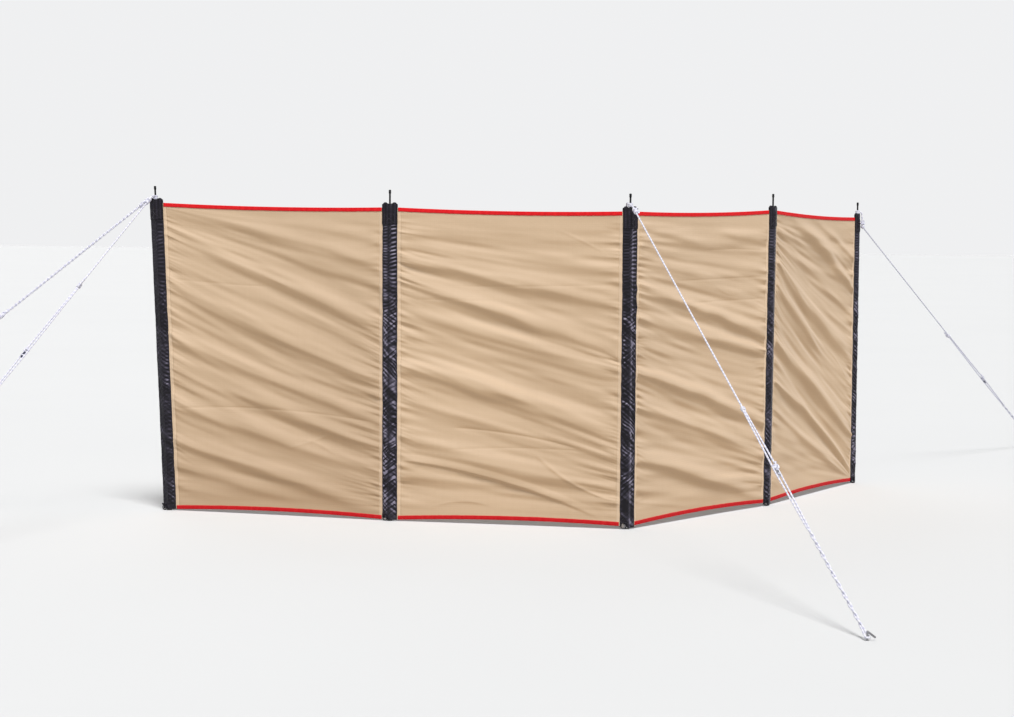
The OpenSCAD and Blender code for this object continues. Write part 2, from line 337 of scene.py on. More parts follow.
class Nodes:
    """The nodes of a material or a world, with short calls to add to them."""

    def __init__(self, owner):
        owner.use_nodes = True
        self.owner, self.tree = owner, owner.node_tree

    def feed(self, socket, value):
        """Links an output to a socket, or gives the socket a number, a vector or a colour."""
        if isinstance(value, bpy.types.NodeSocket):
            self.tree.links.new(value, socket)
        else:
            socket.default_value = (*value, 1) if socket.type == "RGBA" else value

    def add(self, kind, output=0, **values):
        """An output of a new node, with the node's inputs and properties set by name."""
        node = self.tree.nodes.new(kind)
        for key, value in values.items():
            if hasattr(node, key):
                setattr(node, key, value)
            else:
                self.feed(node.inputs[key], value)
        return node.outputs[output]

    def math(self, operation, *values):
        """An operation on one or two values, each a number or an output."""
        node = self.tree.nodes.new("ShaderNodeMath")
        node.operation = operation
        for socket, value in zip(node.inputs, values):
            self.feed(socket, value)
        return node.outputs[0]

    def times(self, a, b):
        return self.math("MULTIPLY", a, b)

    def ramp(self, source, *stops):
        """Colours along a value."""
        node = self.tree.nodes.new("ShaderNodeValToRGB")
        band = node.color_ramp
        while len(band.elements) < len(stops):
            band.elements.new(0.5)
        for element, (place, colour) in zip(band.elements, stops):
            element.position = place
            element.color = (*colour, 1)
        self.feed(node.inputs[0], source)
        return node.outputs["Color"]

    def spread(self, source, low, high):
        """A roughness from low to high along a value."""
        return self.ramp(source, (0.3, (low,) * 3), (0.7, (high,) * 3))

    def mix(self, kind, share, a, b):
        """Two colours mixed; each is a colour or an output."""
        node = self.tree.nodes.new("ShaderNodeMix")
        node.data_type = "RGBA"
        node.blend_type = kind
        for socket, value in ((0, share), (6, a), (7, b)):
            self.feed(node.inputs[socket], value)
        return node.outputs[2]

    def mapped(self, source, scale):
        return self.add("ShaderNodeMapping", Vector=source, Scale=scale)

    def uv(self, across=1, along=1):
        """The UV map, in metres, scaled."""
        return self.mapped(self.add("ShaderNodeUVMap", uv_map="UVMap"), (across, along, 1))

    def place(self, scale=(1, 1, 1)):
        """The object's own coordinates, scaled."""
        return self.mapped(self.add("ShaderNodeTexCoord", "Object"), scale)

    def stored(self, name):
        """A number stored at each point of the mesh."""
        return self.add("ShaderNodeAttribute", "Fac", attribute_name=name)

    def noise(self, vector, scale, detail=3.0, roughness=0.55):
        return self.add("ShaderNodeTexNoise", Vector=vector, Scale=scale, Detail=detail,
                        Roughness=roughness)

    def threads(self, vector, scale, direction, distortion=0.6):
        """Parallel threads along one direction."""
        return self.add("ShaderNodeTexWave", "Fac", wave_type="BANDS", bands_direction=direction,
                        Vector=vector, Scale=scale, Distortion=distortion, Detail=1.0)

    def ribs(self, pitch, direction, distortion=0.6):
        """Threads on the UV map that repeat every 2 pi times pitch."""
        return self.threads(self.uv(), 1 / (pitch * WAVE), direction, distortion)

    def weave(self, pitch):
        """Height of a plain weave: threads over and under one another."""
        return self.times(self.ribs(pitch, "X"), self.ribs(pitch, "Y"))

    def bump(self, height, strength, distance, **under):
        return self.add("ShaderNodeBump", Height=height, Strength=strength, Distance=distance, **under)

    def finish(self, colour, normal=None, roughness=None):
        """Feeds the material's shader."""
        for socket, source in (("Base Color", colour), ("Roughness", roughness), ("Normal", normal)):
            if source is not None:
                self.feed(self.tree.nodes["Principled BSDF"].inputs[socket], source)
        return self.owner


def new_material(name, colour, roughness, sheen=(0.0, 0.5), specular=0.5, metallic=0.0, sheen_tint=WHITE):
    """The nodes of a new material, with its shader's own values set."""
    n = Nodes(bpy.data.materials.new(name))
    n.owner.diffuse_color = (*colour, 1)
    values = {"Base Color": colour, "Roughness": roughness, "Metallic": metallic,
              "Sheen Weight": sheen[0], "Sheen Roughness": sheen[1], "Sheen Tint": sheen_tint,
              "Specular IOR Level": specular}
    for socket, value in values.items():
        n.feed(n.tree.nodes["Principled BSDF"].inputs[socket], value)
    return n


def cloth_material():
    """Tan polycotton: a plain weave with slubs, darker towards its bottom, and with painted shade on its
    folds: paler on faces that look up, deeper and warmer on those that look down.
    """
    n = new_material("tan polycotton", (0.556, 0.419, 0.294), 0.86, (0.08, 0.5), 0.2)
    weave = n.weave(0.0011)
    slub_across = n.noise(n.uv(6, 420), 1.0, 2.0)
    slub_up = n.noise(n.uv(420, 6), 1.0, 2.0)
    slubs = n.times(n.math("ADD", slub_across, slub_up), 0.5)
    patches = n.noise(n.uv(), 5.0, 4.0)
    base = n.ramp(slubs, (0.25, (0.537, 0.402, 0.279)), (0.50, (0.556, 0.419, 0.294)),
                  (0.75, (0.574, 0.436, 0.308)))
    tinted = n.mix("MULTIPLY", 0.25, base, n.ramp(patches, (0.35, (0.90, 0.88, 0.86)), (0.65, WHITE)))
    toned = n.mix("MULTIPLY", 0.12, tinted, n.ramp(weave, (0.0, (0.80, 0.78, 0.75)), (0.6, WHITE)))
    darkened = n.mix("MULTIPLY", n.stored("darkening"), toned, (0.79, 0.76, 0.73))
    # Painted shade: fold faces that look down are painted deeper and warmer, and those that look up paler.
    fold_shaded = n.mix("MULTIPLY", 1.0, darkened, n.ramp(n.stored("painted_fold_shade"), (0.0, (0.945, 0.862, 0.745)),
                                                  (0.5, (0.990, 0.962, 0.910)), (1.0, WHITE)))
    doubled = n.mix("MIX", n.times(n.stored("hem"), 0.5), fold_shaded, (0.63, 0.48, 0.34))
    normal = n.bump(slubs, 0.25, 0.0006, Normal=n.bump(weave, 0.2, 0.0003))
    return n.finish(doubled, normal, n.spread(patches, 0.80, 0.92))


def sleeve_material():
    """Near-black nylon with a weave, with painted highlights and painted shade on its creases, stored at
    each point.
    """
    n = new_material("black nylon", (0.018, 0.016, 0.023), 0.40, (0.06, 0.3), 0.2,
                     sheen_tint=(0.72, 0.7, 0.85))
    wrinkle = n.noise(n.uv(40, 230), 1.0, 4.0, 0.6)
    rub = n.noise(n.uv(9, 14), 1.0, 4.0)
    # Painted light: the stored painted highlights and shade, with a little random rubbing, turned into
    # lavender highlights over near-black.
    toned = n.math("ADD", n.stored("painted_light"), n.times(n.math("SUBTRACT", rub, 0.5), 0.25))
    colour = n.ramp(toned, (0.26, (0.006, 0.005, 0.008)), (0.50, (0.018, 0.016, 0.024)),
                    (0.70, (0.052, 0.047, 0.068)), (0.95, (0.19, 0.175, 0.23)))
    normal = n.bump(wrinkle, 0.35, 0.0012, Normal=n.bump(n.weave(0.0008), 0.3, 0.0002))
    return n.finish(colour, normal, n.spread(wrinkle, 0.34, 0.50))


def webbing_material():
    """Black ribbed webbing."""
    n = new_material("black webbing", (0.010, 0.008, 0.015), 0.6, (0.05, 0.4), 0.22)
    threads = n.math("ADD", n.times(n.ribs(0.0011, "X", 0.8), 0.4), 0.6)
    cord = n.times(n.ribs(0.0019, "Y", 0.3), threads)
    fuzz = n.noise(n.uv(60, 60), 1.0, 4.0)
    colour = n.ramp(n.times(cord, fuzz), (0.05, (0.004, 0.003, 0.006)), (0.35, (0.010, 0.008, 0.015)),
                    (0.6, (0.026, 0.022, 0.036)))
    return n.finish(colour, n.bump(cord, 0.6, 0.0007), n.spread(fuzz, 0.48, 0.70))


def binding_material(name, tone):
    """Red binding tape with a rib along it, darker where tone is under 1."""
    n = new_material(name, (0.62 * tone, 0.010 * tone, 0.014 * tone), 0.7, specular=0.10)
    ribs = n.ribs(0.0012, "X", 0.4)
    edge = n.ribs(0.0022, "Y", 0.3)
    wear = n.noise(n.uv(30, 90), 1.0, 4.0)
    colour = n.ramp(wear, (0.28, (0.56 * tone, 0.007, 0.011)), (0.5, (0.62 * tone, 0.010, 0.014)),
                    (0.75, (0.68 * tone, 0.018, 0.020)))
    shaded = n.mix("MULTIPLY", 0.2, colour, n.ramp(ribs, (0.0, (0.7, 0.6, 0.6)), (0.5, WHITE)))
    normal = n.bump(n.math("ADD", ribs, n.times(edge, 0.5)), 0.4, 0.0005)
    return n.finish(shaded, normal, n.spread(wear, 0.52, 0.72))


def rope_material():
    """White braided cord with blue flecks: slanting strands that cross both ways."""
    n = new_material("braided rope", (0.85, 0.85, 0.88), 0.7, (0.1, 0.5))
    round_it = n.add("ShaderNodeSeparateXYZ", Vector=n.add("ShaderNodeUVMap", uv_map="UVMap"))
    strands = n.times(round_it, 4.0)
    along = n.times(round_it.node.outputs["Y"], 1 / BRAID_PITCH)
    hump_r, hump_l = (n.math("SINE", n.times(n.math("FRACT", n.math(way, strands, along)), math.pi))
                      for way in ("ADD", "SUBTRACT"))
    braid = n.math("MAXIMUM", hump_r, hump_l)
    tracer = n.times(n.math("GREATER_THAN", hump_l, 0.72),
                     n.math("GREATER_THAN", n.math("SINE", n.times(along, math.pi)), 0.15))
    fuzz = n.noise(n.place(), 900.0)
    white = n.ramp(fuzz, (0.3, (0.54, 0.54, 0.63)), (0.6, (0.74, 0.74, 0.80)))
    flecked = n.mix("MIX", n.times(tracer, 0.55), white, (0.16, 0.17, 0.40))
    shaded = n.mix("MULTIPLY", 0.6, flecked, n.ramp(braid, (0.2, (0.45, 0.45, 0.5)), (0.75, WHITE)))
    return n.finish(shaded, n.bump(braid, 0.7, 0.0008))


def thread_material(name, colour):
    """Sewing thread, twisted."""
    n = new_material(name, colour, 0.7, (0.2, 0.5))
    twist = n.threads(n.place(), 140.0, "DIAGONAL", 0.5)
    dark = tuple(c * 0.6 for c in colour)
    return n.finish(n.ramp(twist, (0.2, dark), (0.8, colour)), n.bump(twist, 0.4, 0.0002))


def metal_material(name, dark, light, roughness, metallic, speck, speck_share, specular=0.5):
    """Worn metal: fine scratches along it, brighter rubbed spots and a few specks."""
    n = new_material(name, light, roughness, specular=specular, metallic=metallic)
    scratches = n.noise(n.place((60, 60, 4)), 9.0, 6.0, 0.7)
    rubbed = n.noise(n.place(), 55.0, 5.0, 0.65)
    specks = n.noise(n.place(), 240.0, 3.0, 0.6)
    body = n.ramp(rubbed, (0.32, dark), (0.62, light))
    spots = n.ramp(specks, (1 - speck_share - 0.06, (0, 0, 0)), (1 - speck_share, WHITE))
    normal = n.bump(scratches, 0.2, 0.0003, Normal=n.bump(specks, 0.15, 0.0003))
    rough = n.spread(scratches, roughness * 0.75, min(1.0, roughness * 1.35))
    return n.finish(n.mix("MIX", spots, body, speck), normal, rough)


def plastic_material():
    """Moulded black plastic with a fine grain and scuffs."""
    n = new_material("black plastic", (0.03, 0.03, 0.034), 0.55)
    grain = n.noise(n.place(), 900.0, 2.0)
    scuff = n.noise(n.place(), 70.0, 5.0)
    colour = n.ramp(scuff, (0.35, (0.018, 0.018, 0.021)), (0.7, (0.06, 0.058, 0.056)))
    return n.finish(colour, n.bump(grain, 0.25, 0.0003), n.spread(scuff, 0.45, 0.72))


CLOTH = cloth_material()
NYLON = sleeve_material()
WEBBING = webbing_material()
BINDING = binding_material("red binding", 1.0)
# A darker copy of the binding tape, for the bottom edges
LOW_BINDING = binding_material("soiled red binding", 0.78)
ROPE = rope_material()
TAN_THREAD = thread_material("tan thread", (0.42, 0.29, 0.17))
RED_THREAD = thread_material("red thread", (0.42, 0.01, 0.02))
BLACK_THREAD = thread_material("black thread", (0.06, 0.055, 0.07))
PIN_STEEL = metal_material("black pin steel", (0.006, 0.006, 0.007), (0.014, 0.014, 0.016), 0.55,
                           0.0, (0.05, 0.05, 0.055), 0.25, specular=0.12)
ALUMINIUM = metal_material("pole aluminium", (0.42, 0.43, 0.45), (0.60, 0.61, 0.63), 0.34, 1.0,
                           (0.3, 0.29, 0.27), 0.24)
PEG_STEEL = metal_material("peg steel", (0.16, 0.16, 0.17), (0.36, 0.36, 0.38), 0.4, 0.9,
                           (0.20, 0.09, 0.04), 0.3)
SLIDER_METAL = metal_material("slider metal", (0.030, 0.034, 0.055), (0.070, 0.078, 0.120), 0.36, 0.6,
                              (0.3, 0.3, 0.32), 0.26)
PLASTIC = plastic_material()

# ---------------- cloth
# Folds of each bay. The line where a fold falls off most steeply runs from left to right through
# three heights, in thousandths of the cloth's height from its top edge: at the left seam, at mid
# bay and at the right seam. Then how steep it is and how wide, and where along the bay it starts
# and ends, which aren't given for a fold that runs through the whole bay.
WHOLE_BAY = (0.0, 1.05)
FOLD_TABLE = [
    [
        (-36, 4, 59, 4.0, 0.7, 0.35, 1.05), (-36, 42, 107, 5.5, 0.8, 0.2, 1.05), (18, 103, 194, 7.5, 1.0),
        (14, 152, 266, 5.0, 0.7, 0.4, 1.05), (105, 254, 409, 8.5, 1.2, 0.06, 1.05),
        (184, 330, 474, 3.0, 0.7), (280, 443, 566, 8.5, 1.3), (309, 502, 624, 3.0, 0.6, 0.0, 0.6),
        (439, 587, 694, 8.0, 1.0), (544, 672, 794, 6.0, 1.0, 0.25, 1.05), (669, 782, 884, 8.5, 1.1),
        (784, 892, 1004, 12.0, 1.1), (864, 962, 1054, 6.5, 0.8, 0.0, 0.7),
        (934, 992, 1054, 6.0, 0.5, 0.0, 0.45),
    ],
    [
        (50, 35, 30, 3.0, 0.5, 0.0, 0.4), (92, 100, 120, 2.5, 0.7, 0.0, 0.5), (165, 240, 310, 9.0, 0.8),
        (235, 350, 468, 11.5, 1.0), (340, 435, 515, 6.0, 0.9), (430, 500, 580, 3.0, 0.7, 0.0, 0.6),
        (520, 622, 747, 12.5, 1.1), (620, 700, 760, 6.0, 0.8, 0.0, 0.65),
        (740, 845, 890, 9.0, 1.1, 0.0, 0.95), (800, 878, 1010, 4.0, 0.5, 0.0, 0.9),
        (900, 965, 1020, 4.0, 0.5, 0.0, 0.5),
    ],
    [
        (50, 105, 150, 5.5, 0.7, 0.0, 0.5), (10, 60, 120, 4.5, 0.6, 0.55, 1.05),
        (120, 175, 210, 3.5, 0.7, 0.0, 0.55), (200, 245, 270, 4.0, 0.6, 0.0, 0.45),
        (260, 340, 442, 14.0, 0.8), (335, 425, 500, 9.0, 0.9), (430, 510, 590, 3.0, 0.6, 0.0, 0.5),
        (520, 625, 740, 13.5, 0.9), (510, 580, 672, 5.0, 0.5, 0.6, 1.05), (625, 735, 850, 9.5, 0.9),
        (795, 900, 1000, 13.0, 0.9), (928, 988, 1010, 9.0, 0.3, 0.0, 0.6),
    ],
    [
        (-38, -8, 46, 4.5, 0.5, 0.4, 1.05), (-68, 30, 164, 9.5, 0.6, 0.3, 1.05),
        (-28, 113, 291, 14.0, 1.0), (-18, 83, 216, 6.0, 0.4, 0.6, 1.05),
        (27, 158, 324, 5.0, 0.6, 0.0, 0.45), (82, 233, 379, 6.0, 0.5, 0.5, 1.05),
        (142, 303, 444, 5.0, 0.4, 0.55, 1.05), (177, 378, 549, 9.5, 1.0),
        (257, 468, 654, 9.5, 0.8, 0.0, 0.65), (307, 528, 714, 5.0, 0.5, 0.0, 0.5),
        (452, 648, 844, 13.5, 1.2), (592, 758, 976, 17.0, 0.6), (682, 853, 1004, 8.0, 0.7),
        (762, 858, 924, 4.0, 0.6, 0.0, 0.45), (832, 898, 954, 4.0, 0.6, 0.0, 0.45),
    ],
]
FOLDS = [[(*(v / 1000 for v in row[:3]), *row[3:], *WHOLE_BAY)[:7] for row in bay] for bay in FOLD_TABLE]
# Creases of each bay, left from when the cloth was folded away: heights at left, mid and right of
# the crease in thousandths, its start and end along the bay, its height and its width in
# millimetres. Those with a negative height are pressed in, and those with a width below as well
# have two flat faces.
CREASES = [
    [
        (245, 255, 262, 0.0, 0.5, -0.9, 3.3), (668, 664, 692, 0.02, 0.98, -1.3, 3.3),
        (793, 765, 730, 0.54, 0.78, 1.3, 3.3), (758, 775, 815, 0.62, 0.8, 1.4, 3.3),
        (225, 245, 270, 0.45, 0.6, 1.2, 3.3),
    ],
    [
        (291, 289, 290, 0.08, 0.46, -0.9, 3.3), (246, 240, 234, 0.28, 0.92, -0.9, 3.3),
        (703, 722, 765, 0.24, 0.84, -2.0, 4.0), (775, 765, 768, 0.22, 0.86, -1.1, 3.3),
        (804, 870, 981, 0.0, 0.92, 4.6, 23.0, 8.0), (775, 878, 922, 0.61, 1.0, 3.4, 4.5),
        (965, 942, 962, 0.14, 0.45, 2.0, 4.0), (55, 90, 135, 0.7, 0.93, 1.2, 3.3),
    ],
    [
        (225, 223, 225, 0.25, 1.0, -0.9, 3.3), (301, 298, 300, 0.35, 1.0, -1.1, 3.3),
        (125, 126, 138, 0.5, 1.0, -0.9, 3.3), (240, 270, 280, 0.58, 0.75, 1.0, 3.3),
    ],
    [
        (500, 545, 615, 0.72, 0.93, 1.8, 3.3),
    ],
]
BUSY = (1.15, 1.25, 1.4, 1.45)  # how busy the small folds of each bay are
DEEP = (1.04, 1.10, 1.42, 1.36)  # and how deep its main folds
# How much darker each bay's cloth is along its top and its bottom, and how much more at its right side
DARKENING = ((0.05, 1.05, 0.35), (0.0, 0.50, 0.15), (0.0, 0.35, 0.0), (0.0, 0.08, -0.1))
PUCKER = 0.0125  # from one fine pucker of a seam to the next
FOLD_LIFT = 0.00125  # metres of relief for each unit of steepness and width above
CREST_ABOVE = 0.036  # how gently a fold rises above its crest
CREST_BELOW = 0.025  # and how sharply it falls below it


def bay_size(i):
    """Width of bay i's cloth between its two sleeves, at the ground."""
    a = on_pole(i, SLEEVE_W / 2, 0.0)
    b = on_pole(i + 1, -SLEEVE_W / 2, 0.0)
    return float(np.linalg.norm(b - a))


def through(left, middle, right, t):
    """The curve through three values at t of 0, a half and 1."""
    return left * (1 - t) * (1 - 2 * t) + middle * 4 * t * (1 - t) + right * t * (2 * t - 1)


def fold_lines(i, t, y):
    """A height for each point that stays the same along the direction of the nearby folds."""
    crests = [f[:3] for f in FOLDS[i] if f[0] > 0 and f[2] < 1 and f[5] < 0.1 and f[6] > 1]
    crests = sorted([(0.0, 0.0, 0.0), *crests, (1.0, 1.0, 1.0)], key=lambda c: c[1])
    labels = [c[1] for c in crests]
    out = np.empty_like(y)
    flat_t, flat_y, flat_out = t.ravel(), y.ravel(), out.ravel()
    for value in np.unique(flat_t):
        here = flat_t == value
        places = np.maximum.accumulate([through(*c, value) for c in crests] + np.arange(len(crests)) * 1e-6)
        flat_out[here] = np.interp(flat_y[here], places, labels)
    return flat_out.reshape(y.shape)


def relief(i, x, y, height):
    """How far bay i's cloth stands off its plane towards the back, x from its left seam and y
    down from its top edge, in metres."""
    width = bay_size(i)
    t = np.clip(x / width, 0, 1)
    y = np.clip(y, BINDING_H, height - BINDING_H)
    share = y / height
    arch = np.sin(math.pi * t)
    taper = 0.42 + 0.58 * np.sqrt(arch)
    out = np.zeros_like(x)
    for k, (left, middle, right, lift, wide, start, end) in enumerate(FOLDS[i]):
        drift = 0.004 * noise2(x, y * 0, 0.09, 1.0, 100 * i + k)
        below = y - through(left, middle, right, t) * height - drift
        below = below + 0.7 * CREST_BELOW * wide * taper
        reach = np.where(below < 0, CREST_ABOVE, CREST_BELOW) * wide * taper
        along = smooth(t, start - 0.02, start + 0.22) if start > 0 else 1.0
        along = along * (1 - smooth(t, end - 0.25, end)) if end < 1 else along
        swell = 0.8 + 0.2 * noise2(x, y * 0, 0.16, 1.0, 500 + 100 * i + k)
        rise = FOLD_LIFT * DEEP[i] * lift * wide * along * swell * (0.35 + 0.65 * arch)
        out -= rise * bell(below, 0, reach)
    lines = fold_lines(i, t, share) * height
    out += 0.0030 * noise2(lines, x, 0.105, 0.60, 880 + i) * arch
    small = 0.0023 * noise2(lines, x, 0.034, 0.30, 900 + i)
    small += 0.0011 * noise2(lines, x, 0.016, 0.13, 920 + i)
    side = np.minimum(x, width - x).clip(0)
    half = np.where(x < width / 2, 0.0, 3.7)
    near = np.exp(-side / 0.10) * (0.35 + 0.65 * smooth(side, 0.0, 0.06))
    small += 0.0048 * noise2(lines + half, x, 0.025, 0.20, 940 + i) * near
    small += 0.0031 * noise2(lines + half, x, 0.0125, 0.09, 960 + i) * np.exp(-side / 0.055)
    pucker = np.cos(2 * math.pi * lines / PUCKER + 5 * noise2(lines + half, x, 0.045, 0.08, 980 + i))
    patch = 0.6 + 0.4 * noise2(lines + half, x, 0.05, 0.04, 990 + i)
    small += 0.00080 * pucker * patch * np.exp(-side / 0.030)
    out += BUSY[i] * small
    for left, middle, right, start, end, lift, above, *below in CREASES[i]:
        u = np.clip((t - start) / (end - start), 0, 1)
        off = y - through(left / 1000, middle / 1000, right / 1000, u) * height
        away = 1000 * np.abs(off) / np.where(off < 0, above, below[0] if below else above)
        fade = smooth(t, start - 0.01, start + 0.08) * (1 - smooth(t, end - 0.08, end + 0.01))
        out -= 0.001 * lift * (np.clip(1 - away, 0, 1) if below else np.exp(-away)) * fade
    free = np.minimum(share, 1 - share)
    out *= 0.22 + 0.78 * smooth(free, 0.012, 0.10)
    out *= 0.12 + 0.88 * smooth(side, 0.0, HEM_W * 1.6)
    out += 0.0009 * bell(side, HEM_W, 0.0012)
    return out


def cloth_edges(i, u):
    """Heights of bay i's bottom and top edges at u along it."""
    hump = 4 * u * (1 - u)
    low = between(BOTTOM_RISES[i], BOTTOM_RISES[i + 1], u) + BOTTOM_ARCH * hump
    high = between(SLEEVE_TOPS[i], SLEEVE_TOPS[i + 1], u) - TOP_DROP - TOP_SAG * hump
    return low, high


def on_cloth(i, x, y, off=0.0):
    """Points of bay i's cloth, x across and y down from its top edge, off it towards the back."""
    x, y = np.broadcast_arrays(np.asarray(x, float), np.asarray(y, float))
    width = bay_size(i)
    u = x / width
    low, high = cloth_edges(i, np.clip(u, 0, 1))
    height = high - low
    z = high - y
    seam = SLEEVE_W / 2 - 0.0006
    left, right = on_pole(i, seam, z), on_pole(i + 1, -seam, z)
    belly = BELLY * np.sin(math.pi * np.clip(u, 0, 1)) * np.sin(math.pi * np.clip(y / height, 0, 1))
    out = belly + relief(i, x, y, height) + off
    a = bay_heading(i)
    back = np.array((-math.sin(a), math.cos(a), 0.0))
    return left + (right - left) * u[..., None] + out[..., None] * back


def bay_columns(i):
    """Places across a bay, close together at its seams."""
    width = bay_size(i)
    seam = [0, 0.003, 0.006, 0.009, 0.0108, 0.012, 0.0132, 0.015]
    dense = list(np.arange(0.018, 0.08, 0.0034))
    inner = list(np.linspace(0.082, width - 0.082, PANEL_COLUMNS))
    side = seam + dense
    return np.array(side + inner + [width - s for s in reversed(side)])


def mark(piece, name, values):
    """Stores a number at each point of a piece for its material."""
    layer = piece.data.attributes.new(name, "FLOAT", "POINT")
    layer.data.foreach_set("value", values.ravel().astype(np.float32))


def make_panel(i):
    """One bay's cloth, from its top edge to its bottom edge."""
    columns = bay_columns(i)
    rows = np.linspace(0, 1, PANEL_ROWS)
    low, high = cloth_edges(i, columns / bay_size(i))
    drop = 0.0012 + rows[:, None] * (high - low - 0.0024)[None, :]
    across = np.broadcast_to(columns, drop.shape)
    shape = Shape()
    shape.grid(on_cloth(i, across, drop), columns, (1 - rows) * float(high[0] - low[0]))
    piece = shape.make(f"cloth_panel_{i + 1}", CLOTH, tidy=False)
    mark(piece, "hem", np.minimum(across, bay_size(i) - across) < HEM_W)
    # Darker towards the bottom of each bay, more to one side, and a little at random
    at_top, at_bottom, tilt = DARKENING[i]
    darkening = at_top + (at_bottom - at_top) * (drop / (high - low)) ** 1.4 + tilt * (across / bay_size(i) - 0.5)
    mark(piece, "darkening", darkening + 0.10 * noise2(drop, across, 0.16, 0.22, 860 + i))
    # Painted light and shade from the relief's slope: cloth facing up is painted paler, cloth facing down
    # deeper.
    facing_up = -np.gradient(relief(i, across, drop, high - low), axis=0) / np.gradient(drop, axis=0)
    mark(piece, "painted_fold_shade", np.clip(0.5 + 1.7 * facing_up, 0, 1))
    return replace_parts(piece, f"panel_{i + 1}")


def make_binding(i, top):
    """Tape folded over the cloth's top or bottom edge."""
    columns = bay_columns(i)
    columns = columns[(columns > 0.001) & (columns < bay_size(i) - 0.001)]
    low, high = cloth_edges(i, columns / bay_size(i))
    edge_y, inward = (0.0, 1) if top else (high - low, -1)
    ring = [(d, -s) for d, s in BINDING_OUTLINE] + BINDING_OUTLINE[-2::-1]
    wobble = 0.0003 * noise2(columns, columns * 0, 0.011, 1.0, 40 + i + 7 * top)
    rows = [on_cloth(i, columns, edge_y + inward * (depth + wobble * (depth > 0.01)), side * BINDING_T / 2)
            for depth, side in ring]
    shape = Shape()
    shape.closed_grid(np.array(rows).transpose(1, 0, 2), np.linspace(0, 0.030, len(ring) + 1), columns)
    end = "top" if top else "bottom"
    piece = shape.make(f"{end}_tape_{i + 1}", BINDING if top else LOW_BINDING)
    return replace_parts(piece, f"{end}_binding_{i + 1}")


def sew(name, material, lines):
    """Stitches along lines, each given by its places(d), with d in metres, and by its ends."""
    shape = Shape()
    for places, first, last in lines:
        starts = np.arange(first, last - STITCH_PITCH, STITCH_PITCH)
        shape.threads(places(starts), places(starts + STITCH_PITCH * STITCH_SHARE), STITCH_T)
    return shape.make(name, material, tidy=False)


def make_seams(i):
    """The thread down both sides of a bay's cloth."""
    width = bay_size(i)
    lines = []
    for x in (HEM_W, width - HEM_W):
        low, high = cloth_edges(i, x / width)
        lines.append((lambda d, x=x: on_cloth(i, x, d, -0.0001), BINDING_H + 0.002, high - low - BINDING_H))
    return sew(f"seam_stitches_{i + 1}", TAN_THREAD, lines)


def make_tape_stitches(i):
    """The thread along both of a bay's binding tapes, seen from the front and the back."""
    width = bay_size(i)

    def line(d, off, top):
        low, high = cloth_edges(i, d / width)
        inset = BINDING_H - 0.0022
        return on_cloth(i, d, inset if top else high - low - inset, off)

    lines = [(lambda d, off=off, top=top: line(d, off, top), 0.004, width - 0.004)
             for off in (-BINDING_T / 2, BINDING_T / 2) for top in (True, False)]
    return sew(f"tape_stitches_{i + 1}", RED_THREAD, lines)


# ---------------- poles and sleeves
def sleeve_depth(s):
    """Half the thickness of a sleeve at s across it: round on its pole, then drawn in."""
    share = np.clip(np.abs(s) / (SLEEVE_W / 2), 0, 1)
    on_the_pole = np.sqrt(np.clip(BULGE_R ** 2 - s ** 2, 0, None))
    flap = SLEEVE_EDGE / 2 + 0.0098 * (1 - share) ** 1.18
    return np.maximum(on_the_pole, flap)


def slanted(turns):
    """A lopsided wave, gentle on one side and steep on the other."""
    return np.sin(2 * math.pi * turns) + 0.35 * np.sin(4 * math.pi * turns + 0.8)


def foot_raise(i, s):
    """How far a sleeve's bottom hem is pulled up at s across it."""
    return FOOT_RAISE[i] * bell(s, FOOT_LOOP_S, 0.0085)


def free_side(i, s):
    """Places across a sleeve, drawn in on the side of an end pole that holds no cloth."""
    free = {0: -1, POLES - 1: 1}.get(i, 0)
    return np.where(s * free > 0, s * FREE_SIDE, s)


def ridges(across, along, cell_across, cell_along, seed):
    """Narrow crests between wide valleys, from about -0.4 to 0.6."""
    n = np.abs(noise2(across, along, cell_across, cell_along, seed))
    return np.clip(1 - 2.1 * n, 0, 1) ** 1.5 - 0.37


def sleeve_wrinkle(i, s, z, back):
    """Creases of a sleeve: level pleats near its top, slanting folds that cross lower down."""
    seed = 200 + 40 * i + 20 * back
    drop = SLEEVE_TOPS[i] - z
    slant = (0.15 + 0.75 * smooth(drop, 0.12, 0.42)) * (-1 if back else 1)
    down = z + slant * s
    up = z - 0.9 * slant * s
    low = smooth(drop, 0.16, 0.40) * SLEEVE_LIVELY[i]
    patch = 0.55 + 0.45 * noise2(z, s, 0.085, 0.030, seed)
    other = 0.55 + 0.45 * noise2(z, s, 0.070, 0.030, seed + 1)
    right = smooth(s * (-1 if back else 1), -0.004, 0.006)
    pleats = np.cos(2 * math.pi * z / (0.0098 + 0.0032 * right) + 2.5 * noise2(z, s, 0.05, 0.03, seed + 2))
    out = 0.00055 * (1 + right) * pleats * (1 - low) * SLEEVE_LIVELY[i]
    wander = noise2(z, s, 0.045, 0.045, seed + 7)
    busy = np.clip(0.55 + 0.9 * noise2(z, s, 0.055, 0.035, seed + 8), 0, 1.2)
    out += 0.0011 * slanted(down / 0.0155 + wander) * busy * (0.12 + 0.88 * low)
    out += 0.0008 * slanted(up / 0.0175 - wander) * other * low
    out += 0.0026 * ridges(down, s, 0.0135, 0.055, seed + 3) * patch * (0.25 + 0.75 * low)
    out += 0.0022 * ridges(up, s, 0.015, 0.045, seed + 4) * other * low
    out += 0.0022 * noise2(down, s, 0.026, 0.040, seed + 5) * (0.35 + 0.65 * low)
    out += 0.0002 * noise2(down, s, 0.0062, 0.020, seed + 6)
    flap = 0.62 + 0.38 * smooth(np.abs(s), 0.004, 0.013)
    edge = 1 - 0.75 * smooth(np.abs(s), 0.018, 0.0235)
    return out * flap * edge


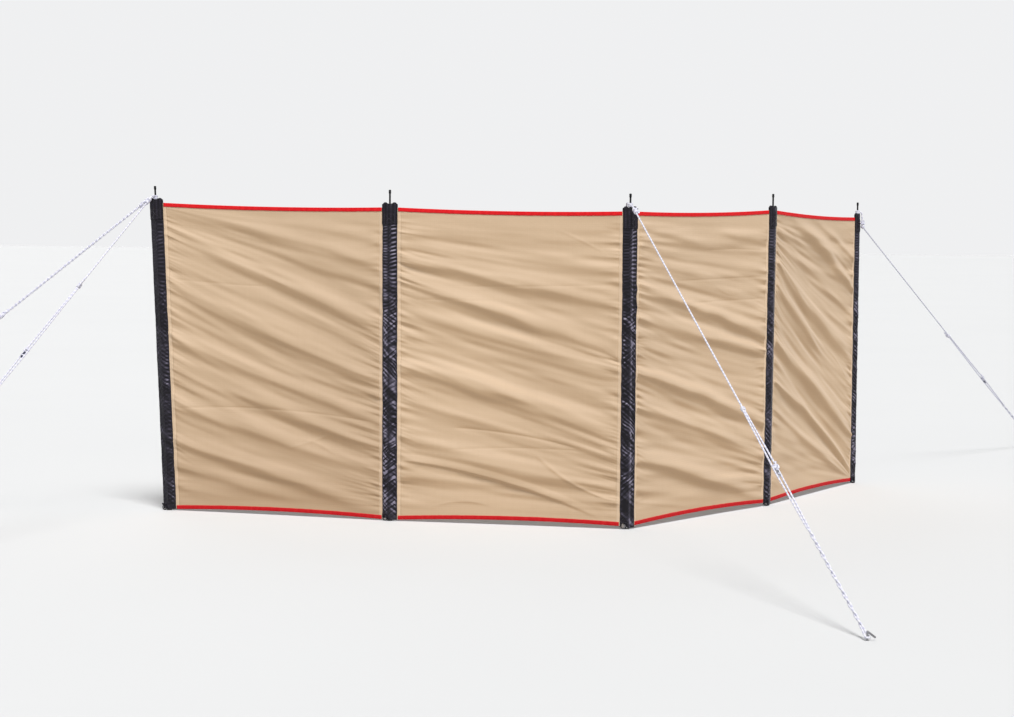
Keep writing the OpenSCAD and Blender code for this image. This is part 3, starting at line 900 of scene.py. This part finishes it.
def make_sleeve(i):
    """A cloth tube round pole i, wrinkled, with its bottom hem turned in."""
    turn = np.linspace(0, math.pi, SLEEVE_COLUMNS)
    front = -np.cos(turn) * SLEEVE_W / 2
    front = 0.55 * front + 0.45 * np.linspace(-1, 1, SLEEVE_COLUMNS) * SLEEVE_W / 2
    ring_s = np.concatenate([front, front[::-1]])
    is_back = np.arange(len(ring_s)) >= SLEEVE_COLUMNS
    sign = np.where(is_back, 1.0, -1.0)
    outside = SLEEVE_BOTTOM + np.linspace(0, SLEEVE_TOPS[i] - 0.003 - SLEEVE_BOTTOM, SLEEVE_ROWS)
    inside = SLEEVE_BOTTOM + np.array([0.016, 0.008, 0.0012])
    depth = (sleeve_depth(ring_s) - 0.0010).clip(0.0002)
    raised = foot_raise(i, ring_s)
    hem = [on_pole(i, free_side(i, ring_s) * 0.955, z + raised, sign * depth) for z in inside]

    s, z = np.broadcast_arrays(ring_s[None, :], outside[:, None])
    wrinkle = np.where(is_back, sleeve_wrinkle(i, s, z, 1), sleeve_wrinkle(i, s, z, 0))
    calm_bottom = 0.30 + 0.70 * smooth(z, SLEEVE_BOTTOM, SLEEVE_BOTTOM + 0.035)
    under_cap = 1 - smooth(z, CAP_BOTTOMS[i] - 0.006, CAP_BOTTOMS[i] + 0.002)
    hem_line = 0.0005 * bell(z, SLEEVE_BOTTOM + 0.014, 0.0016)
    seam = 0.0007 * bell(s, 0, 0.0011) * under_cap
    sway = 1 + under_cap * (0.022 * noise2(z, np.sign(s), 0.016, 0.6, 280 + i)
                            + 0.022 * noise2(z, np.sign(s), 0.075, 0.6, 290 + i))
    for drop, out_by in LUMPS.get(i, ()):
        sway = sway + out_by * bell(z, SLEEVE_TOPS[i] - drop, 0.013) * (s > 0)
    relief_here = wrinkle * calm_bottom * under_cap
    clear_of_pole = np.sqrt(np.clip(POLE_CLEAR ** 2 - s ** 2, 0, None))
    depth = np.maximum(sleeve_depth(s) + relief_here - hem_line - seam, clear_of_pole)
    # Painted light and shade: crease faces that look up and the crests are painted lighter, the painted
    # bands are added, and the back is a little lighter.
    facing_up = -np.gradient(relief_here, outside, axis=0)
    tone = sum(amount * bell(s, centre, wide) for centre, wide, amount in PAINTED_BANDS[i])
    tone = np.where(is_back, 0.03, tone)
    painted_light = np.clip(0.47 + 0.90 * facing_up + relief_here / 0.0068 + tone, 0, 1)
    lifted = z + raised * (1 - smooth(z, SLEEVE_BOTTOM, SLEEVE_BOTTOM + 0.05))
    body = on_pole(i, free_side(i, s) * sway, lifted, sign * depth.clip(0.0003))
    points = np.concatenate([np.array(hem), body])
    around = lengths(np.vstack([points[5], points[5][:1]]))
    shape = Shape()
    shape.grid(points, around, np.concatenate([inside - 0.03, outside]), wrap=True)
    piece = shape.make(f"pole_sleeve_{i + 1}", NYLON)
    # The turned-in hem is painted darker.
    mark(piece, "painted_light", np.concatenate([np.full(len(inside) * len(ring_s), 0.3), painted_light.ravel()]))
    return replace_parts(piece, f"sleeve_{i + 1}")


def make_sleeve_stitches(i):
    """The thread down the middle of a sleeve's front, and round its bottom hem."""
    def hem(d, side):
        s = d - SLEEVE_W / 2
        z = SLEEVE_BOTTOM + 0.014 + foot_raise(i, s)
        return on_pole(i, s, z, side * (sleeve_depth(s) - 0.0004))

    def middle(d):
        return on_pole(i, 0.0, d, -sleeve_depth(0.0) + 0.0004)

    lines = [(middle, SLEEVE_BOTTOM + 0.004, CAP_BOTTOMS[i])]
    lines += [(lambda d, side=side: hem(d, side), 0.002, SLEEVE_W - 0.002) for side in (-1, 1)]
    return sew(f"sleeve_stitches_{i + 1}", BLACK_THREAD, lines)


def cap_top(i, s):
    """Height of the webbing's fold over sleeve i's top: two ears and a dip at the pin."""
    ear = np.exp(-((np.abs(s) - 0.0155) / 0.0062) ** 4)
    corner = bell(np.abs(s), 0.0262, 0.0045)
    return SLEEVE_TOPS[i] - 0.0005 + 0.0036 * ear - 0.0010 * bell(s, 0, 0.006) - 0.0022 * corner


def make_cap(i):
    """Webbing folded over the top of sleeve i, down its front and its back."""
    half = SLEEVE_W / 2 + 0.0008
    columns = np.linspace(-half, half, 30)
    side = np.linspace(0, 1, 26)
    turn = np.linspace(0, math.pi, 9)[1:-1]
    walls = []
    for s in columns:
        depth = float(sleeve_depth(np.clip(s, -SLEEVE_W / 2, SLEEVE_W / 2))) + 0.0012
        top = float(cap_top(i, s))
        bend = min(depth, CAP_BEND)
        rise = CAP_BOTTOMS[i] + side * (top - bend - CAP_BOTTOMS[i])
        ripple = 0.0005 * noise2(rise, np.full_like(rise, s), 0.012, 0.012, 300 + i)
        front = depth + ripple - smooth(rise, top - 0.030, top) * (depth - bend) * 0.55
        over = np.stack([-front[-1] * np.cos(turn), top - bend + bend * np.sin(turn)], 1)
        walls.append(np.vstack([np.stack([-front, rise], 1), over, np.stack([front, rise], 1)[::-1]]))
    points = np.stack([on_pole(i, np.full(len(w), s), w[:, 1], w[:, 0])
                       for s, w in zip(free_side(i, columns), walls)])
    shape = Shape()
    shape.grid(points, lengths(walls[15]), columns)
    piece = shape.make(f"cap_webbing_{i + 1}", WEBBING)
    solid = piece.modifiers.new("thickness", "SOLIDIFY")
    solid.thickness = CAP_T
    solid.offset = 0.0
    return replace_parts(piece, f"webbing_cap_{i + 1}")


def make_cap_stitches(i):
    """A box with a cross sewn on the front and the back of a webbing cap."""
    low, high, half = CAP_BOTTOMS[i] + 0.005, CAP_BOTTOMS[i] + 0.034, 0.0165
    corners = np.array(((-half, low), (half, low), (half, high), (-half, high)))

    def line(d, side, a, b):
        run = corners[b] - corners[a]
        s, z = corners[a][:, None] + run[:, None] * d / np.linalg.norm(run)
        return on_pole(i, s, z, side * (sleeve_depth(s) + 0.0019))

    lines = [(lambda d, side=side, a=a, b=b: line(d, side, a, b),
              0.0004, np.linalg.norm(corners[b] - corners[a]))
             for side in (-1, 1) for a, b in ((0, 1), (1, 2), (2, 3), (3, 0), (0, 2), (1, 3))]
    return sew(f"cap_stitches_{i + 1}", BLACK_THREAD, lines)


def lathe(shape, i, outline, sides=28):
    """A turned piece on pole i, from (radius, height) pairs."""
    turn = np.arange(sides) / sides * 2 * math.pi
    rows = [on_pole(i, r * np.cos(turn), np.full(sides, z), r * np.sin(turn)) for r, z in outline]
    run = [z for _, z in outline]
    shape.closed_grid(np.array(rows), np.arange(sides + 1) / sides * 0.03, run)


def make_pin(i):
    """The pin that stands out of pole i's top, with its collar inside the cap."""
    base, top = SLEEVE_TOPS[i] - 0.011, PIN_TOPS[i]
    outline = [(r / 1000, base + z / 1000) for r, z in PIN_COLLAR]
    outline += [(r / 1000, top - z / 1000) for r, z in PIN_HEAD]
    shape = Shape()
    lathe(shape, i, outline)
    piece = shape.make(f"pin_{i + 1}", PIN_STEEL, sharp=35)
    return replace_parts(piece, f"tip_pin_{i + 1}")


def make_eyelet(i):
    """A washer of black plastic round the pin, where it comes through the webbing."""
    z = float(cap_top(i, 0.0))
    shape = Shape()
    lathe(shape, i, [(0.0034, z - 0.0010), (0.0068, z - 0.0010), (0.0074, z - 0.0002),
                     (0.0068, z + 0.0008), (0.0048, z + 0.0012), (0.0034, z + 0.0008)])
    return shape.make(f"pin_washer_{i + 1}", PLASTIC, sharp=50)


def make_foot_loop(i):
    """A loop of black cord that hangs from the bottom hem of sleeve i, and its bar tack."""
    s, r = FOOT_LOOP_S, FOOT_LOOP_R
    z = r + 0.0022
    turn = np.radians(np.linspace(-200, 20, 15))
    ring = np.stack([s + r * np.cos(turn), z + r * np.sin(turn)], 1)
    ends = ring[[0, -1], 1] + 0.010
    ring = np.vstack([(s - 0.0045, ends[0]), ring, (s + 0.0045, ends[1])])
    tack = np.linspace(s - 0.010, s + 0.010, 9)
    shape = Shape()
    loop = on_pole(i, ring[:, 0], ring[:, 1], -sleeve_depth(ring[:, 0]) - 0.0019)
    shape.tube(resample(loop, 0.0012), 0.0016, sides=10)
    bar = on_pole(i, tack, np.full(9, ends[0] - 0.001), -sleeve_depth(tack) - 0.0012)
    shape.tube(resample(bar, 0.0015), 0.0020, sides=8, flat=1.4)
    return shape.make(f"foot_loop_{i + 1}", WEBBING)


# ---------------- ropes
# Each rope: pole, heading, reach, level of its loop on the pin, where it bends over the cap,
# its first knot from the pin, the runs to its knot and its slider, and whether its upper
# part is two strands twisted together.
ROPES = {
    "left_side": (0, 206.8, 1.385, 1, 0.017, (-0.043, -0.023, -0.024), 0.592, 0.880, True),
    "left_front": (0, 247, 1.590, 2, 0.017, (-0.019, -0.047, -0.021), 0.481, 0.835, False),
    "middle_front": (2, -74.8, 1.764, 1, 0.017, (0.014, -0.050, -0.019), 1.066, 1.351, False),
    "middle_back": (2, 112, 1.600, 2, 0.028, (-0.010, 0.026, -0.052), 0.980, 1.260, False),
    "right_side": (4, 52.6, 1.764, 1, 0.016, (0.019, -0.009, -0.053), 0.920, 1.350, False),
    "right_back": (4, 148, 1.600, 2, 0.021, (0.002, 0.027, -0.052), 0.860, 1.190, False),
}


def twisted(a, b, radius, pitch, phase):
    """A strand that winds round the line from a to b."""
    line = straight(a, b, 0.004)
    turn = 2 * math.pi * np.linspace(0, np.linalg.norm(b - a), len(line)) / pitch + phase
    return line + radius * swing(turn, *side_and_lift(unit(b - a)))


def add_knot(shape, centre, run, turns, seed, tail=0.022):
    """Turns of rope round a strand, with a crossing over them and a short tail."""
    rng = np.random.default_rng(seed)
    run = unit(run)
    t = np.linspace(0, 1, int(turns * 20))
    phase = rng.uniform(0, 6.28)
    turn = phase + 2 * math.pi * turns * t
    width = ROPE_R * 2.0 * turns * 0.92
    radius = ROPE_R * (1.75 + 0.18 * np.sin(9 * t + phase))
    coil = (centre + ((t - 0.5) * width)[:, None] * run
            + radius[:, None] * swing(turn, *side_and_lift(run)))
    last = coil[-1]
    out = unit(last - centre - np.dot(last - centre, run) * run)
    bridge = [last + out * ROPE_R * 1.2 + run * ROPE_R * 0.8,
              centre + out * ROPE_R * 3.9 + run * width * 0.1,
              centre + out * ROPE_R * 3.3 - run * width * 0.62,
              centre - run * (width * 0.75 + tail * 0.35) + out * ROPE_R * 2.4,
              centre - run * (width * 0.75 + tail) + out * ROPE_R * (1.5 + rng.uniform(0, 3))]
    path = resample(np.vstack([coil, bridge if tail else bridge[:4]]), 0.0022)
    radii = np.full(len(path), ROPE_R * 0.98)
    if tail:
        radii[-3:] *= (1.12, 1.15, 0.9)
    shape.tube(path, radii, sides=9)


def make_rope(k, name):
    """One guy rope from its pin to its peg, with its knots."""
    pole, heading, reach, level, bend_out, first, knot_run, slide_run, double = ROPES[name]
    a = math.radians(heading)
    ahead = math.cos(a) * X + math.sin(a) * Y
    side = math.cos(a) * Y - math.sin(a) * X
    pin = on_pole(pole, 0.0, SLEEVE_TOPS[pole] + 0.001 + (level - 0.5) * 0.006)
    start = pin + np.array(first)
    peg = np.array(FEET[pole]) + reach * ahead + PEG_TIE * Z
    run = unit(peg - start)
    knot, slide, twist = (start + d * run for d in (knot_run, slide_run, slide_run + TWIST_RUN))
    flat_out = unit(first * (X + Y))
    shape = Shape()

    turns = np.linspace(0.62, 2 * math.pi * 1.9 - 0.62, 34)
    loop = (pin + LOOP_R * swing(math.atan2(flat_out[1], flat_out[0]) + turns, X, Y)
            + 0.0048 * (turns / 12 - 0.5)[:, None] * Z)
    bend = pin + bend_out * flat_out + 0.0008 * Z
    lead = [*loop, pin + (LOOP_R + 0.004) * flat_out + side * 0.001, bend, start]
    shape.tube(resample(lead, 0.003), ROPE_R, sides=10)
    add_knot(shape, start, run, 2.6, 11 + k, tail=0.014)
    hang = unit(start - bend)
    add_knot(shape, start - min(0.016, np.linalg.norm(start - bend) / 2) * hang, hang, 2.2, 71 + k, tail=0)
    if double:
        for phase in (0.0, math.pi):
            shape.tube(twisted(start, knot, ROPE_R * 0.95, 0.034, phase), ROPE_R * 0.92, sides=8)
    else:
        shape.tube(straight(start, knot), ROPE_R, sides=10)
    add_knot(shape, knot, run, 3.2, 31 + k)

    half = STRAND_SPREAD / 2 * side
    close = ROPE_R * 1.02
    tie = peg - 0.03 * run
    pitch = (np.linalg.norm(peg - twist) - 0.03) / (5 + k % 2)
    lean = 0.0 if np.dot(side_and_lift(run)[0], side) > 0 else math.pi
    strands = []
    for phase, sign in ((lean, 1), (lean + math.pi, -1)):
        held = slide + sign * half
        strands.append(np.vstack([straight(knot + sign * ROPE_R * 0.9 * side, held, 0.008),
                                  straight(held, twist + sign * close * side, 0.008)[1:-1],
                                  twisted(twist, tie, close, pitch, phase)]))
    there, back = strands
    arc = peg + (PEG_R + ROPE_R) * swing(np.linspace(0, math.pi, 11), side, ahead)
    round_peg = resample([there[-1], *arc, back[-1]], 0.002)[1:-1]
    shape.tube(np.vstack([there, round_peg, back[::-1]]), ROPE_R * 0.97, sides=10)
    add_knot(shape, slide - 0.021 * run, run, 2.4, 51 + k, tail=0.012)
    eye = swing(np.linspace(-2.2, 2.2, 15), side * 0.95, np.cross(run, side) * 0.62)
    for sign in (-1, 1):
        hole = slide + sign * SLIDER_HOLE * run
        shape.tube(resample(hole + 0.0058 * eye, 0.0018), ROPE_R * 0.9, sides=9)
    piece = shape.make(f"rope_{name}", ROPE)
    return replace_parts(piece, f"guy_rope_{name}")


# ---------------- CAD nodes that stay
def dress(node, material, bevel=0.0):
    """Gives a CAD node its finish, and rounds its edges a little."""
    piece = frame["nodes"][node]
    if not piece.material_slots:
        piece.data.materials.append(material)
    for place in piece.material_slots:
        place.material = material
    if bevel:
        mod = piece.modifiers.new("edges", "BEVEL")
        mod.width = bevel
        mod.segments = 3
        mod.limit_method = "ANGLE"
        mod.angle_limit = math.radians(40)


# ---------------- camera, light and floor
def make_camera():
    """A view from the front, a little above the cloth's middle and slightly down on it."""
    pitch, roll = math.radians(3.71), math.radians(0.57)
    ahead = Vector((0, math.cos(pitch), -math.sin(pitch)))
    right, up = Vector((1, 0, 0)), Vector((0, math.sin(pitch), math.cos(pitch)))
    cam_right = right * math.cos(roll) + up * math.sin(roll)
    cam_up = up * math.cos(roll) - right * math.sin(roll)
    data = bpy.data.cameras.new("camera")
    data.sensor_width = 36.0
    data.lens = 69.76
    camera = add_object("camera", data)
    turn = Matrix((cam_right, cam_up, -ahead)).transposed().to_4x4()
    camera.matrix_world = Matrix.Translation((-0.390, -6.264, 0.951)) @ turn
    bpy.context.scene.camera = camera


def make_sun(name, elevation, azimuth, strength, soft, shadows, colour):
    """A broad far lamp, soft degrees wide, whose light comes from a height and a direction in plan."""
    e, a = math.radians(elevation), math.radians(azimuth)
    source = Vector((math.cos(e) * math.cos(a), math.cos(e) * math.sin(a), math.sin(e)))
    data = bpy.data.lights.new(name, "SUN")
    data.use_shadow = shadows
    data.energy = strength
    data.angle = math.radians(soft)
    data.color = colour
    light = add_object(name, data)
    light.rotation_mode = "QUATERNION"
    light.rotation_quaternion = (-source).to_track_quat("-Z", "Y")


SKY = ((0.0, 0.88), (0.13, 0.88), (0.38, 0.26), (1.0, 0.22))  # brightness at heights up the sky


def make_stage():
    """A plain pale floor under plain soft studio light."""
    size = 90.0
    corners = [(-size, -size, 0), (size, -size, 0), (size, size, 0), (-size, size, 0)]
    mesh = bpy.data.meshes.new("floor")
    mesh.from_pydata(corners, [], [(0, 1, 2, 3)])
    n = new_material("floor", (0.535, 0.545, 0.556), 0.9)
    pale = n.ramp(n.noise(n.place(), 0.6, 2.0), (0.3, (0.531, 0.541, 0.552)), (0.7, (0.539, 0.549, 0.560)))
    mesh.materials.append(n.finish(pale))
    add_object("floor", mesh)

    sky = Nodes(bpy.data.worlds.new("studio"))
    up = sky.add("ShaderNodeSeparateXYZ", "Z", Vector=sky.add("ShaderNodeTexCoord", "Generated"))
    shades = [(height, (value * 0.985, value * 0.99, value)) for height, value in SKY]
    sky.feed(sky.tree.nodes["Background"].inputs[0], sky.ramp(up, *shades))
    bpy.context.scene.world = sky.owner
    make_sun("key", 62, -75, 4.25, 24.0, True, (1.0, 0.985, 0.965))
    make_sun("fill", 30, 110, 0.9, 40.0, False, WHITE)
    bpy.context.scene.view_settings.view_transform = "Standard"


make_camera()
make_stage()

sleeves = [make_sleeve(i) for i in range(POLES)]
for i in range(POLES):
    make_cap(i)
    make_cap_stitches(i)
    make_sleeve_stitches(i)
    make_pin(i)
    make_eyelet(i)
    make_foot_loop(i)
    dress(f"pole_{i + 1}", ALUMINIUM)
dress("foot_plugs", PLASTIC, 0.0006)

for i in range(BAYS):
    panel = make_panel(i)
    trims = [make_binding(i, True), make_binding(i, False), make_seams(i), make_tape_stitches(i)]

for k, name in enumerate(ROPES):
    make_rope(k, name)
    dress(f"slider_{name}", ALUMINIUM if name == "middle_front" else SLIDER_METAL, 0.0012)
    dress(f"peg_{name}", PEG_STEEL)
